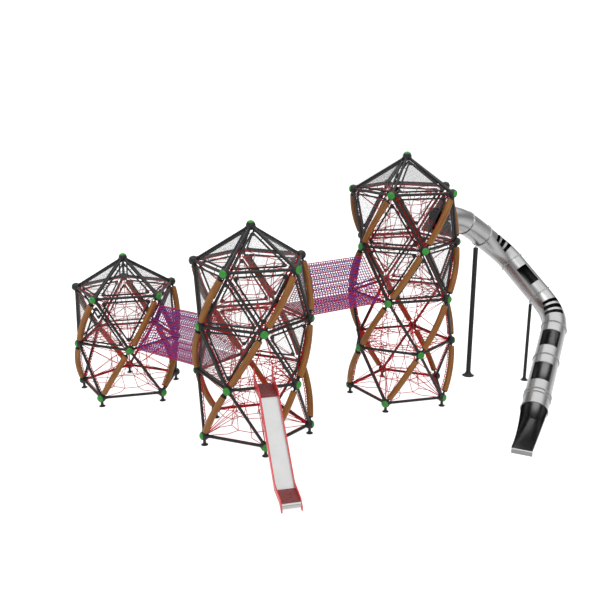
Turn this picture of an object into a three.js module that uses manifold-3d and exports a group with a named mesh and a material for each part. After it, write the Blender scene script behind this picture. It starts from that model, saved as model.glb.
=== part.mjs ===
// Three-tower climbing frame: icosahedral steel towers with inner rope nets, two net tunnels,
// a straight slide and a stainless tubular slide. Millimetres, +Z up, standing on Z = 0.
import * as THREE from 'three';
import { ConvexGeometry } from 'three/addons/geometries/ConvexGeometry.js';
import { mergeVertices } from 'three/addons/utils/BufferGeometryUtils.js';
import Module from 'manifold-3d';

const wasm = await Module();
wasm.setup();

// ---- Driving dimensions -------------------------------------------------------------------
const EDGE = 2000; // centre to centre of two joined balls
const RADIUS = EDGE / (2 * Math.sin(Math.PI / 5)); // of each five-ball ring, and the tier height
const ROOF_RISE = Math.sqrt(EDGE ** 2 - RADIUS ** 2);
const BALL_R = 142;
const FOOT_HEIGHT = 297; // from the ground to the lowest ball centres
const TUBE_R = 45; // ring tubes and straight struts
const TUBE_SIDES = 6;
const CLEARANCE = 1.5; // between pieces that meet
const UP = new THREE.Vector3(0, 0, 1);

const TOWERS = {
  left: { centre: [-3581, 4606], tiers: 2 },
  centre: { centre: [0, 0], tiers: 3 },
  right: { centre: [5454, 1822], tiers: 4 },
};

const LOOKS = {
  steel: { color: 0x343636, roughness: 0.45, metalness: 0.35 },
  timber: { color: 0x96642d, roughness: 0.6, metalness: 0.0 },
  mesh: { color: 0x8d8f90, roughness: 0.6, metalness: 0.2 },
  redRope: { color: 0xbe282d, roughness: 0.85, metalness: 0.0 },
  stainless: { color: 0xb4b6b8, roughness: 0.25, metalness: 1.0 },
  redPanel: { color: 0xd73c41, roughness: 0.4, metalness: 0.0 },
  plate: { color: 0x8c8380, roughness: 0.5, metalness: 0.3 },
};

// ---- Solids -------------------------------------------------------------------------------
function solidOf(geometry) {
  const bare = geometry.clone();
  bare.deleteAttribute('normal');
  bare.deleteAttribute('uv');
  const merged = mergeVertices(bare, 1e-3);
  return new wasm.Manifold(
    new wasm.Mesh({
      numProp: 3,
      vertProperties: new Float32Array(merged.attributes.position.array),
      triVerts: new Uint32Array(merged.index.array),
    }),
  );
}

const join = (solids) => solids.reduce((all, next) => all.add(next));
const cut = (body, tools) => tools.reduce((left, tool) => left.subtract(tool), body);

const object = new THREE.Group();

function piece(name, solid, look) {
  const { vertProperties, triVerts } = solid.getMesh();
  const geometry = new THREE.BufferGeometry();
  geometry.setAttribute('position', new THREE.BufferAttribute(vertProperties, 3));
  geometry.setIndex(new THREE.BufferAttribute(triVerts, 1));
  const mesh = new THREE.Mesh(geometry, new THREE.MeshStandardMaterial(LOOKS[look]));
  mesh.name = name;
  object.add(mesh);
}

// A straight prism from one point to another, or a cone where its two ends differ.
function rod(from, to, radius, sides = TUBE_SIDES, endRadius = radius) {
  const length = from.distanceTo(to);
  const geometry = new THREE.CylinderGeometry(endRadius, radius, length, sides);
  const along = to.clone().sub(from).normalize();
  const turn = new THREE.Quaternion().setFromUnitVectors(new THREE.Vector3(0, 1, 0), along);
  geometry.applyQuaternion(turn);
  const middle = from.clone().add(to).multiplyScalar(0.5);
  return solidOf(geometry.translate(middle.x, middle.y, middle.z));
}

const polygon = (radius, sides) => Array.from({ length: sides }, (_, n) => {
  const angle = (2 * Math.PI * n) / sides;
  return [radius * Math.cos(angle), radius * Math.sin(angle)];
});

function sweep(path, radius, sides, steps) {
  const outline = new THREE.Shape(polygon(radius, sides).map(([x, y]) => new THREE.Vector2(x, y)));
  return solidOf(new THREE.ExtrudeGeometry(outline, { steps, extrudePath: path }));
}

// The point at a distance from one point towards another.
function towards(from, to, distance) {
  return from.clone().add(to.clone().sub(from).setLength(distance));
}

const average = (points) =>
  points.reduce((sum, p) => sum.add(p), new THREE.Vector3()).divideScalar(points.length);

// A closed plate with the given corners in its middle plane.
function plate(corners, normal, thickness) {
  const half = normal.clone().multiplyScalar(thickness / 2);
  const faces = corners.flatMap((p) => [p.clone().add(half), p.clone().sub(half)]);
  return solidOf(new ConvexGeometry(faces));
}

// ---- Tower geometry -----------------------------------------------------------------------
const radians = THREE.MathUtils.degToRad;

// Ring k of a tower has five balls; each ring is turned 36 degrees from the one below it.
function ringPoint(tower, k, i, radius = RADIUS) {
  const azimuth = radians(90 + 36 * (tower.tiers - k) + 72 * i);
  return new THREE.Vector3(
    tower.centre[0] + radius * Math.cos(azimuth),
    tower.centre[1] + radius * Math.sin(azimuth),
    FOOT_HEIGHT + RADIUS * k,
  );
}

const FIVE = [0, 1, 2, 3, 4];
const ring = (tower, k, radius) => FIVE.map((i) => ringPoint(tower, k, i, radius));

function apex(tower) {
  const height = FOOT_HEIGHT + RADIUS * tower.tiers + ROOF_RISE;
  return new THREE.Vector3(tower.centre[0], tower.centre[1], height);
}

// The ten triangles of a tier, in order round the tower: each has its corners and its azimuth.
function tierFaces(tower, k) {
  const low = ring(tower, k);
  const high = ring(tower, k + 1);
  return FIVE.flatMap((i) => {
    const next = (i + 1) % 5;
    const azimuth = 90 + 36 * (tower.tiers - k) + 72 * i;
    return [
      { corners: [high[i], high[next], low[i]], azimuth: azimuth % 360 },
      { corners: [low[i], low[next], high[next]], azimuth: (azimuth + 36) % 360 },
    ];
  });
}

function faceNormal(corners) {
  const across = corners[1].clone().sub(corners[0]);
  return across.cross(corners[2].clone().sub(corners[0])).normalize();
}

// ---- Steel frames: balls, ring tubes, struts, feet ----------------------------------------
const ball = (centre) =>
  solidOf(new THREE.IcosahedronGeometry(BALL_R, 0).translate(centre.x, centre.y, centre.z));

const FOOT_STEM_R = 45;
const FOOT_DISC_R = 106;
const FOOT_DISC_TOP_R = 63;
const FOOT_DISC_HEIGHT = 30;

function foot(centre) {
  const ground = centre.clone().setZ(0);
  const discTop = centre.clone().setZ(FOOT_DISC_HEIGHT);
  const disc = rod(ground, discTop, FOOT_DISC_R, TUBE_SIDES, FOOT_DISC_TOP_R);
  return disc.add(rod(ground, centre, FOOT_STEM_R));
}

// ---- Curved timber-look members, one run of them up each corner of a tower -----------------
const TIMBER_R = 97;
const TIMBER_BOW = 0.07 * RADIUS; // how far the middle stands outside the straight line
const TIMBER_INSET = 0.115; // share of the span that the neck takes at each end
const TIMBER_SIDES = 6;
const TIMBER_STEPS = 3;
const NECK_R = 32;
const NECK_SIDES = 3;
const NECK_EMBED = 25; // of a neck in the end of its member
const BORE_GROWTH = 4; // of a bore beyond the neck in it

function timberCurve(tower, from, to) {
  const middle = average([from, to]);
  const axis = new THREE.Vector3(tower.centre[0], tower.centre[1], middle.z);
  const bow = middle.clone().sub(axis).setLength(TIMBER_BOW);
  const at = (t) => from.clone().lerp(to, t).addScaledVector(bow, 4 * t * (1 - t));
  const start = at(TIMBER_INSET);
  const end = at(1 - TIMBER_INSET);
  // A parabola is its own Bezier curve: its middle control point doubles the sagitta.
  const control = at(0.5).multiplyScalar(2).sub(average([start, end]));
  return { start, end, curve: new THREE.QuadraticBezierCurve3(start, control, end) };
}

// The run that starts at ball i of the lowest ring and climbs one place round at each ring.
function runBalls(tower, i) {
  return Array.from({ length: tower.tiers + 1 }, (_, k) => ringPoint(tower, k, i + k));
}

// The steel necks that carry run i's members through its balls, or the bores for them.
function necks(tower, i, growth = 0) {
  const balls = runBalls(tower, i);
  const neck = (from, towardsEnd) => {
    const length = from.distanceTo(towardsEnd) + NECK_EMBED;
    const back = towards(from, towardsEnd, -growth);
    return rod(back, towards(from, towardsEnd, length), NECK_R + growth, NECK_SIDES);
  };
  return balls.slice(1).flatMap((upper, k) => {
    const lower = balls[k];
    const { start, end } = timberCurve(tower, lower, upper);
    const last = k === tower.tiers - 1;
    const foothold = k === 0 ? towards(lower, start, BALL_R + CLEARANCE) : lower;
    const tip = last ? towards(upper, end, BALL_R + CLEARANCE) : upper;
    return [neck(foothold, start), neck(tip, end)];
  });
}

function timberRun(tower, i) {
  const balls = runBalls(tower, i);
  const members = balls.slice(1).map((upper, k) =>
    sweep(timberCurve(tower, balls[k], upper).curve, TIMBER_R, TIMBER_SIDES, TIMBER_STEPS));
  return join([...members, ...necks(tower, i)]);
}

function ringFrame(tower, k) {
  const here = ring(tower, k);
  const above = ring(tower, k + 1);
  const parts = here.map(ball);
  here.forEach((p, i) => parts.push(rod(p, here[(i + 1) % 5], TUBE_R)));
  if (k === 0) here.forEach((p) => parts.push(foot(p)));
  if (k < tower.tiers) {
    const reach = EDGE - BALL_R - CLEARANCE;
    here.forEach((p, i) => parts.push(rod(p, towards(p, above[i], reach), TUBE_R)));
  }
  const passes = k > 0 && k < tower.tiers;
  const bores = passes ? FIVE.flatMap((i) => necks(tower, i, BORE_GROWTH)) : [];
  return cut(join(parts), bores);
}

function roofFrame(tower) {
  const top = apex(tower);
  const reach = EDGE - BALL_R - CLEARANCE;
  const struts = ring(tower, tower.tiers).map((p) => rod(top, towards(top, p, reach), TUBE_R));
  return join([ball(top), ...struts]);
}

// ---- Triangular net panels ----------------------------------------------------------------
const PANEL_INSET = 0.07 * RADIUS; // from the line between balls to the panel's edge
const PANEL_THICKNESS = 20;
const IN_RADIUS = EDGE / (2 * Math.sqrt(3)); // of a face triangle
const BRACKET_REACH = 200; // from the strut's line to where a bracket holds the panel
const BRACKET_R = 9;

function insetCorners(corners, inset) {
  const centre = average(corners);
  return corners.map((p) => centre.clone().lerp(p, 1 - inset / IN_RADIUS));
}

const facePanel = (corners) =>
  plate(insetCorners(corners, PANEL_INSET), faceNormal(corners), PANEL_THICKNESS);

// A bracket that crosses behind the strut between two neighbouring faces.
function bracket(first, second) {
  const shared = first.filter((p) => second.some((q) => q.distanceTo(p) < 1));
  const middle = average(shared);
  const grip = (corners) => towards(middle, average(corners), BRACKET_REACH);
  return rod(grip(first), grip(second), BRACKET_R, 3);
}

// A row of panels, each bracketed to the next.
function panelRow(faces, closed) {
  const parts = faces.map(facePanel);
  faces.slice(1).forEach((face, n) => parts.push(bracket(faces[n], face)));
  if (closed) parts.push(bracket(faces.at(-1), faces[0]));
  return join(parts);
}

// The panels of a tier, as one row for each stretch between its open faces.
function tierPanels(name, tower, k, open) {
  const faces = tierFaces(tower, k);
  const isOpen = (face) => open.includes(Math.round(face.azimuth));
  const first = faces.findIndex(isOpen);
  const turned = [...faces.slice(first + 1), ...faces.slice(0, first + 1)];
  const rows = [[]];
  turned.forEach((face) => (isOpen(face) ? rows.push([]) : rows.at(-1).push(face.corners)));
  rows.filter((row) => row.length).forEach((row, n, all) =>
    piece(all.length > 1 ? `${name}_${n + 1}` : name, panelRow(row, false), 'mesh'));
}

function roofPanels(tower) {
  const eaves = ring(tower, tower.tiers);
  const faces = FIVE.map((i) => [eaves[i], eaves[(i + 1) % 5], apex(tower)]);
  return panelRow(faces, true);
}

// ---- Inner climbing nets ------------------------------------------------------------------
const ROPE_R = 10;
const SHAFT_ROPE_R = 8;
const ROPE_SIDES = 3;
const HOOP_R = 0.42 * RADIUS; // the five-sided rope hoops round the open shaft

// A flat web of rope at one level: a five-sided hoop with an arm out to each ball.
function ropeWeb(tower, k) {
  const armEnd = RADIUS - BALL_R - CLEARANCE;
  const hoopOut = HOOP_R + ROPE_R;
  const hoopIn = HOOP_R - ROPE_R;
  const turn = radians(90 + 36 * (tower.tiers - k));
  const at = (radius, azimuth, across) => new THREE.Vector2(
    radius * Math.cos(azimuth) - across * Math.sin(azimuth),
    radius * Math.sin(azimuth) + across * Math.cos(azimuth),
  );
  const outline = FIVE.flatMap((i) => {
    const azimuth = turn + radians(72 * i);
    return [at(hoopOut, azimuth, -ROPE_R), at(armEnd, azimuth, -ROPE_R),
      at(armEnd, azimuth, ROPE_R), at(hoopOut, azimuth, ROPE_R)];
  });
  const web = new THREE.Shape(outline);
  web.holes.push(new THREE.Path(FIVE.map((i) => at(hoopIn, turn + radians(72 * i), 0))));
  const geometry = new THREE.ExtrudeGeometry(web, { depth: 2 * ROPE_R, bevelEnabled: false });
  const level = FOOT_HEIGHT + RADIUS * k - ROPE_R;
  return solidOf(geometry.translate(tower.centre[0], tower.centre[1], level));
}

// A web at every level, joined by the shaft ropes; the space under the roof stays clear.
function climbingNet(tower) {
  const parts = [ropeWeb(tower, 0)];
  for (let k = 1; k <= tower.tiers; k += 1) {
    const below = ring(tower, k - 1, HOOP_R);
    parts.push(ropeWeb(tower, k));
    ring(tower, k, HOOP_R).forEach((knot, i) =>
      parts.push(rod(below[i], knot, SHAFT_ROPE_R, ROPE_SIDES)));
  }
  return join(parts);
}

// ---- Net tunnels between two towers --------------------------------------------------------
const TUNNEL_SIDE_INSET = 0.075 * RADIUS; // from the line of the strut beside it
const TUNNEL_FLOOR_INSET = 0; // its floor lies against the ring tubes
const TUNNEL_STANDOFF = 60; // of each end in front of the tower's face, clear of the ring tube
const TUNNEL_WALL = 16;
const TUNNEL_CORNER = 0.03; // share of each side that its rounded corners take off

// The triangle at a tunnel's end: two corners on its level floor, and one at its top.
function tunnelEnd(tower, k, azimuth, wall) {
  const face = tierFaces(tower, k).find((f) => Math.round(f.azimuth) === azimuth);
  const sideInset = TUNNEL_SIDE_INSET + wall;
  const [left, right, top] = insetCorners(face.corners, sideInset);
  const height = 3 * (IN_RADIUS - sideInset);
  const stretch = 1 + (TUNNEL_SIDE_INSET - TUNNEL_FLOOR_INSET) / height;
  const lowered = (corner) => top.clone().lerp(corner, stretch);
  const corners = [lowered(left), lowered(right), top];
  const out = new THREE.Vector3(Math.cos(radians(azimuth)), Math.sin(radians(azimuth)), 0);
  corners.forEach((p) => p.addScaledVector(out, TUNNEL_STANDOFF));
  return corners.flatMap((p, i) => [
    p.clone().lerp(corners[(i + 1) % 3], TUNNEL_CORNER),
    p.clone().lerp(corners[(i + 2) % 3], TUNNEL_CORNER),
  ]);
}

function tunnel(from, to) {
  const ends = (wall) => [from, to].map(([tower, k, azimuth]) => tunnelEnd(tower, k, azimuth, wall));
  const outer = ends(0).flat();
  const inner = ends(TUNNEL_WALL);
  const along = average(inner[1]).sub(average(inner[0])).setLength(EDGE / 4);
  const start = inner[0].map((p) => p.clone().sub(along));
  const end = inner[1].map((p) => p.clone().add(along));
  const bore = new ConvexGeometry([...start, ...inner.flat(), ...end]);
  return solidOf(new ConvexGeometry(outer)).subtract(solidOf(bore));
}

// ---- Straight slide -----------------------------------------------------------------------
const CHUTE_X = 31; // the slide's middle, across
const CHUTE_HALF = 247; // half the width between the side panels
const CHUTE_THICKNESS = 10;
const CHEEK_THICKNESS = 30;
const CHUTE_FACE = -RADIUS * Math.cos(Math.PI / 5); // where the slide leaves the tower
const PLATFORM_Z = FOOT_HEIGHT + RADIUS + TUBE_R + CLEARANCE + CHUTE_THICKNESS;
const CHUTE = {
  back: CHUTE_FACE + 150,
  brow: -2130,
  toe: -4085,
  toeZ: 245,
  lip: -4790,
  lipZ: 215,
};
const LIP_ROLL = 60; // how far the chute's end turns down
const CHEEK_HEIGHT = 130;
const CHEEK_DEPTH = 70;
const CHEEK_GAP = 0.4; // from the chute's edge
// The end of a cheek curves down to a foot on the ground.
const CHEEK_END = { y: -4884, shoulder: 160, foot: 70, heel: 250 };
// The fin is the tall part of a cheek, beside the doorway.
const FIN = {
  back: CHUTE_FACE + 60,
  front: CHUTE_FACE - 55,
  frontFoot: CHUTE_FACE - 135,
  footRise: 300,
  top: PLATFORM_Z + 560,
  chamfer: [40, 60],
};

// An outline of [y, z] points, extruded along X from one x to another.
function sideways(outline, x, width) {
  const shape = new THREE.Shape(outline.map(([y, z]) => new THREE.Vector2(y, z)));
  const geometry = new THREE.ExtrudeGeometry(shape, { depth: width, bevelEnabled: false });
  const [yAxis, xAxis] = [new THREE.Vector3(0, 1, 0), new THREE.Vector3(1, 0, 0)];
  geometry.applyMatrix4(new THREE.Matrix4().makeBasis(yAxis, UP, xAxis));
  return solidOf(geometry.translate(x, 0, 0));
}

function slideChute() {
  const { back, brow, toe, toeZ, lip, lipZ } = CHUTE;
  const t = CHUTE_THICKNESS;
  const end = lip - LIP_ROLL;
  const top = [[back, PLATFORM_Z], [brow, PLATFORM_Z], [toe, toeZ], [lip, lipZ]];
  const nose = [[end + 12, lipZ - 24], [end, lipZ - LIP_ROLL], [end, lipZ - 2 * LIP_ROLL]];
  const under = [
    [end + t, lipZ - 2 * LIP_ROLL], [end + t, lipZ - LIP_ROLL], [lip, lipZ - t],
    [toe + 4, toeZ - t], [brow + 4, PLATFORM_Z - t], [back, PLATFORM_Z - t],
  ];
  return sideways([...top, ...nose, ...under], CHUTE_X - CHUTE_HALF, 2 * CHUTE_HALF);
}

function slideCheek(side) {
  const { brow, toe, toeZ, lipZ } = CHUTE;
  const base = PLATFORM_Z - CHUTE_THICKNESS;
  const rail = PLATFORM_Z + CHEEK_HEIGHT;
  const { y, shoulder, foot: toeLength, heel } = CHEEK_END;
  const [chamferY, chamferZ] = FIN.chamfer;
  const ringTube = CHUTE_FACE - TUBE_R - 60; // clear of the tower's ring tube
  const outline = [
    [FIN.back, base], [FIN.back, FIN.top - chamferZ], [FIN.back - chamferY, FIN.top],
    [FIN.front, FIN.top], [FIN.frontFoot, PLATFORM_Z + FIN.footRise],
    [brow, rail], [toe + 40, toeZ + CHEEK_HEIGHT],
    [y + shoulder, lipZ + 60], [y, lipZ - 90], [y, 0], [y + toeLength, 0],
    [y + heel, lipZ - CHEEK_DEPTH], [toe + 60, toeZ - CHEEK_DEPTH],
    [brow + 60, base - CHEEK_DEPTH], [ringTube, base - CHEEK_DEPTH], [ringTube, base],
  ];
  const x = side < 0 ? -CHUTE_HALF - CHEEK_GAP - CHEEK_THICKNESS : CHUTE_HALF + CHEEK_GAP;
  return sideways(outline, CHUTE_X + x, CHEEK_THICKNESS);
}

// ---- Tubular slide ------------------------------------------------------------------------
const BORE_R = 400;
const SHELL_R = 408;
const FLANGE_R = 438;
const FLANGE_THICKNESS = 14;
const SLIDE_SIDES = 12;
const BEND_STEPS = 6;
const RIGHT = TOWERS.right;
const MOUTH_AZIMUTH = 18;
const MOUTH_OVERHANG = 110; // how far the tube reaches in through the mouth plate
const MOUTH_RISE = 30; // of the tube's middle above the middle of the face
const MOUTH_LEAD = 390; // how far the mouth runs level before it bends down
const MOUTH_CLEARANCE = 6; // between the tube and the plate round it
const MOUTH_PLATE_INSET = 0.06 * RADIUS;
const EXIT_HALF_WIDTH = 300;
const EXIT_LIP_DEPTH = 50; // of the trough at its end
const WINDOW = { length: 800, width: 640 };

// Lengths along the tube's middle, with the turn over each and the slope at its end, in degrees.
// A lead is the straight run before a length starts to bend.
const STAGES = [
  { name: 'mouth', length: 1365, turn: 0, slope: 28, lead: MOUTH_LEAD },
  { name: 'upper', length: 985, turn: 0, slope: 35 },
  { name: 'first_bend', length: 1535, turn: -73, slope: 42.3 },
  { name: 'middle', length: 1515, turn: 0, slope: 42.3, window: true },
  { name: 'second_bend', length: 1575, turn: -74.6, slope: 28.2 },
  { name: 'window_length', length: 1525, turn: 0, slope: 28.2, window: true },
  { name: 'lower', length: 1510, turn: 0, slope: 28.2, window: true },
  { name: 'collar', length: 610, turn: 0, slope: 28.2 },
  { name: 'exit', length: 1958, turn: 0, slope: 0 },
];

const direction = (heading, slope) =>
  new THREE.Vector3(
    Math.cos(radians(heading)) * Math.cos(radians(slope)),
    Math.sin(radians(heading)) * Math.cos(radians(slope)),
    -Math.sin(radians(slope)),
  );

// A length of the slide's middle line, whose heading and slope change evenly after its lead.
class SlideStage {
  constructor(start, from, to, length, lead) {
    Object.assign(this, { start, from, to, length, lead });
  }

  bearing(s) {
    const share = Math.max(0, (s - this.lead) / (this.length - this.lead));
    const mix = THREE.MathUtils.lerp;
    return direction(
      mix(this.from.heading, this.to.heading, share),
      mix(this.from.slope, this.to.slope, share),
    );
  }

  walk(s) {
    const steps = 24;
    const point = this.start.clone();
    for (let n = 0; n < steps; n += 1) {
      point.addScaledVector(this.bearing(((n + 0.5) / steps) * s), s / steps);
    }
    return point;
  }

  trimmed(gap) {
    const lead = Math.max(0, this.lead - gap);
    return new SlideStage(this.walk(gap), this.from, this.to, this.length - 2 * gap, lead);
  }
}

function mouthFace() {
  const k = RIGHT.tiers - 1;
  return tierFaces(RIGHT, k).find((f) => Math.round(f.azimuth) === MOUTH_AZIMUTH).corners;
}

function slideStages() {
  const heading = direction(MOUTH_AZIMUTH, 0);
  let start = average(mouthFace()).addScaledVector(UP, MOUTH_RISE);
  start.addScaledVector(heading, -MOUTH_OVERHANG);
  let from = { heading: MOUTH_AZIMUTH, slope: 0 };
  return STAGES.map(({ length, turn, slope, lead = 0 }) => {
    const to = { heading: from.heading + turn, slope };
    const stage = new SlideStage(start, from, to, length, lead);
    start = stage.walk(length);
    from = to;
    return stage;
  });
}

const bends = (stage) => Math.abs(stage.to.heading - stage.from.heading) > 1
  || Math.abs(stage.to.slope - stage.from.slope) > 1;

// The point at x across and y up from the stage's middle line, square to it.
function besideLine(stage, s, x, y) {
  const along = stage.bearing(s);
  const side = new THREE.Vector3().crossVectors(UP, along).normalize();
  const upward = new THREE.Vector3().crossVectors(along, side);
  return stage.walk(s).addScaledVector(side, x).addScaledVector(upward, y);
}

// A tube's closed skin: rows of points down its outside, then back up its inside, each a loop.
// Inside and outside split their quads along the same diagonal, so the wall keeps its thickness.
function tubeSkin(outside, inside) {
  const rows = [...outside, ...inside];
  const across = rows[0].length;
  const faces = rows.flatMap((_, r) => rows[0].flatMap((__, c) => {
    const here = r * across;
    const next = ((r + 1) % rows.length) * across;
    const beside = (c + 1) % across;
    return r < outside.length
      ? [here + c, next + beside, next + c, here + c, here + beside, next + beside]
      : [here + c, here + beside, next + c, here + beside, next + beside, next + c];
  }));
  const geometry = new THREE.BufferGeometry().setFromPoints(rows.flat());
  geometry.setIndex(faces);
  return solidOf(geometry);
}

// A rectangular light opening in the top of a straight length.
function topWindow(stage) {
  const middle = stage.length / 2;
  const { length, width } = WINDOW;
  const corners = [[-1, -1], [1, -1], [1, 1], [-1, 1]].map(([u, v]) =>
    besideLine(stage, middle + (u * length) / 2, (v * width) / 2, SHELL_R));
  return plate(corners, faceNormal(corners), SHELL_R);
}

// A length of tube with a flange at its lower end and, but for the first, at its upper end.
function slideTube(whole, flanged, hasWindow) {
  const stage = whole.trimmed(CLEARANCE / 2);
  const end = stage.length;
  const steps = bends(stage) ? BEND_STEPS : 1;
  const between = Array.from({ length: steps - 1 }, (_, n) => ((n + 1) * end) / steps);
  const t = FLANGE_THICKNESS;
  const head = flanged ? [[0, FLANGE_R], [t, FLANGE_R], [t, SHELL_R]] : [[0, SHELL_R]];
  const foot = [[end - t, SHELL_R], [end - t, FLANGE_R], [end, FLANGE_R]];
  const outside = [...head, ...between.map((s) => [s, SHELL_R]), ...foot];
  const inside = [end, ...between.toReversed(), 0].map((s) => [s, BORE_R]);
  const loops = (stations) => stations.map(([s, radius]) =>
    polygon(radius, SLIDE_SIDES).map(([x, y]) => besideLine(stage, s, x, y)));
  const shell = tubeSkin(loops(outside), loops(inside));
  return hasWindow ? shell.subtract(topWindow(stage)) : shell;
}

// A closed wall between two grids of points, one row for each station along it.
function wallBetween(outside, inside) {
  const rows = outside.length;
  const across = outside[0].length;
  const points = [...outside.flat(), ...inside.flat()];
  const out = (r, c) => r * across + c;
  const inn = (r, c) => rows * across + r * across + c;
  const faces = [];
  const quad = (a, b, c, d) => faces.push(a, c, b, a, d, c);
  for (let r = 0; r < rows - 1; r += 1) {
    for (let c = 0; c < across - 1; c += 1) {
      quad(out(r, c), out(r + 1, c), out(r + 1, c + 1), out(r, c + 1));
      quad(inn(r, c), inn(r, c + 1), inn(r + 1, c + 1), inn(r + 1, c));
    }
    quad(out(r, 0), inn(r, 0), inn(r + 1, 0), out(r + 1, 0));
    const last = across - 1;
    quad(out(r, last), out(r + 1, last), inn(r + 1, last), inn(r, last));
  }
  for (let c = 0; c < across - 1; c += 1) {
    quad(out(0, c), out(0, c + 1), inn(0, c + 1), inn(0, c));
    const end = rows - 1;
    quad(out(end, c), inn(end, c), inn(end, c + 1), out(end, c + 1));
  }
  const geometry = new THREE.BufferGeometry().setFromPoints(points);
  geometry.setIndex(faces);
  return solidOf(geometry);
}

// One section of the exit's trough, square to its middle line, from rim to rim.
function troughSection(stage, s, halfWidth, depth, rim) {
  const arcSteps = 6;
  const trough = Array.from({ length: arcSteps + 1 }, (_, n) => {
    const angle = Math.PI * (1 + n / arcSteps);
    return [halfWidth * Math.cos(angle), depth * Math.sin(angle)];
  });
  const section = [[-halfWidth, rim], ...trough, [halfWidth, rim]];
  return section.map(([x, y]) => besideLine(stage, s, x, y));
}

function slideExit(stage) {
  const stations = 6;
  const mix = THREE.MathUtils.lerp;
  const grid = (thickness) => Array.from({ length: stations + 1 }, (_, n) => {
    const share = n / stations;
    const half = mix(EXIT_HALF_WIDTH, BORE_R, (1 - share) ** 2);
    const depth = EXIT_LIP_DEPTH + (BORE_R - EXIT_LIP_DEPTH) * (1 - share) ** 1.6;
    const s = CLEARANCE + share * (stage.length - CLEARANCE);
    return troughSection(stage, s, half + thickness, depth + thickness, mix(40, 20, share));
  });
  return wallBetween(grid(SHELL_R - BORE_R), grid(0)).add(exitLip(stage));
}

// The upright plate that closes the end of the chute down to the ground.
function exitLip(stage) {
  const end = stage.walk(stage.length);
  const ahead = direction(stage.to.heading, 0);
  const side = new THREE.Vector3().crossVectors(UP, ahead);
  const half = EXIT_HALF_WIDTH * 0.8;
  const corners = [[-half, 0], [half, 0], [half, 1], [-half, 1]].map(([x, level]) =>
    end.clone().addScaledVector(side, x).setZ(level * (end.z - EXIT_LIP_DEPTH * 0.8)));
  return plate(corners, ahead, 40);
}

const POST_SIDES = 8;
const POST_GAP = 28; // below the lowest point of the sloping flange
const POSTS = [
  { name: 'tall_slide_post', under: 2, radius: 85, base: 220, baseHeight: 120 },
  { name: 'short_slide_post', under: 4, radius: 57, base: 135, baseHeight: 80 },
];

// A post stands below the flange where two lengths of tube meet, and stops just short of it.
function slidePost(stages, { under, radius, base, baseHeight }) {
  const seat = besideLine(stages[under], 0, 0, -FLANGE_R);
  const ground = seat.clone().setZ(0);
  const head = seat.clone().setZ(seat.z - POST_GAP);
  const skirt = rod(ground, ground.clone().setZ(baseHeight), base, POST_SIDES, radius * 1.1);
  return skirt.add(rod(ground, head, radius, POST_SIDES));
}

function mouthPlate(stage) {
  const holeR = (SHELL_R + MOUTH_CLEARANCE) / Math.cos(Math.PI / SLIDE_SIDES);
  const ahead = stage.start.clone().addScaledVector(stage.bearing(0), 2 * MOUTH_OVERHANG);
  const behind = stage.start.clone().addScaledVector(stage.bearing(0), -2 * MOUTH_OVERHANG);
  const corners = insetCorners(mouthFace(), MOUTH_PLATE_INSET);
  const sheet = plate(corners, faceNormal(corners), PANEL_THICKNESS);
  return sheet.subtract(rod(behind, ahead, holeR, SLIDE_SIDES));
}

// ---- Assembly -----------------------------------------------------------------------------
Object.entries(TOWERS).forEach(([name, tower]) => {
  for (let k = 0; k <= tower.tiers; k += 1) piece(`${name}_ring_${k}_frame`, ringFrame(tower, k), 'steel');
  piece(`${name}_roof_frame`, roofFrame(tower), 'steel');
  FIVE.forEach((i) => piece(`${name}_curved_run_${i + 1}`, timberRun(tower, i), 'timber'));
  piece(`${name}_roof_panels`, roofPanels(tower), 'mesh');
  piece(`${name}_inner_net`, climbingNet(tower), 'redRope');
});

// Panelled tiers, with the azimuths of the faces left open for tunnels and slides.
tierPanels('left_tier_2_panels', TOWERS.left, 1, [306]);
tierPanels('centre_tier_2_panels', TOWERS.centre, 1, [126, 270]);
tierPanels('centre_tier_3_panels', TOWERS.centre, 2, [18]);
tierPanels('right_tier_3_panels', TOWERS.right, 2, [198]);
tierPanels('right_tier_4_panels', TOWERS.right, 3, [MOUTH_AZIMUTH]);

piece('left_net_tunnel', tunnel([TOWERS.left, 1, 306], [TOWERS.centre, 1, 126]), 'redRope');
piece('right_net_tunnel', tunnel([TOWERS.centre, 2, 18], [TOWERS.right, 2, 198]), 'redRope');

piece('straight_slide_chute', slideChute(), 'stainless');
piece('straight_slide_left_cheek', slideCheek(-1), 'redPanel');
piece('straight_slide_right_cheek', slideCheek(1), 'redPanel');

const stages = slideStages();
piece('tube_slide_mouth_plate', mouthPlate(stages[0]), 'plate');
STAGES.slice(0, -1).forEach(({ name, window }, n) =>
  piece(`tube_slide_${name}`, slideTube(stages[n], n > 0, window), 'stainless'));
piece('tube_slide_exit', slideExit(stages.at(-1)), 'stainless');
POSTS.forEach((post) => piece(post.name, slidePost(stages, post), 'steel'));

// The origin goes to the middle of the footprint, on the ground.
const bounds = new THREE.Box3().setFromObject(object);
const middle = bounds.getCenter(new THREE.Vector3());
object.position.set(-middle.x, -middle.y, -bounds.min.z);

export default object;
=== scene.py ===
"""Looks of the three-tower climbing frame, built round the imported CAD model. Metres, +Z up."""
import math

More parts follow.
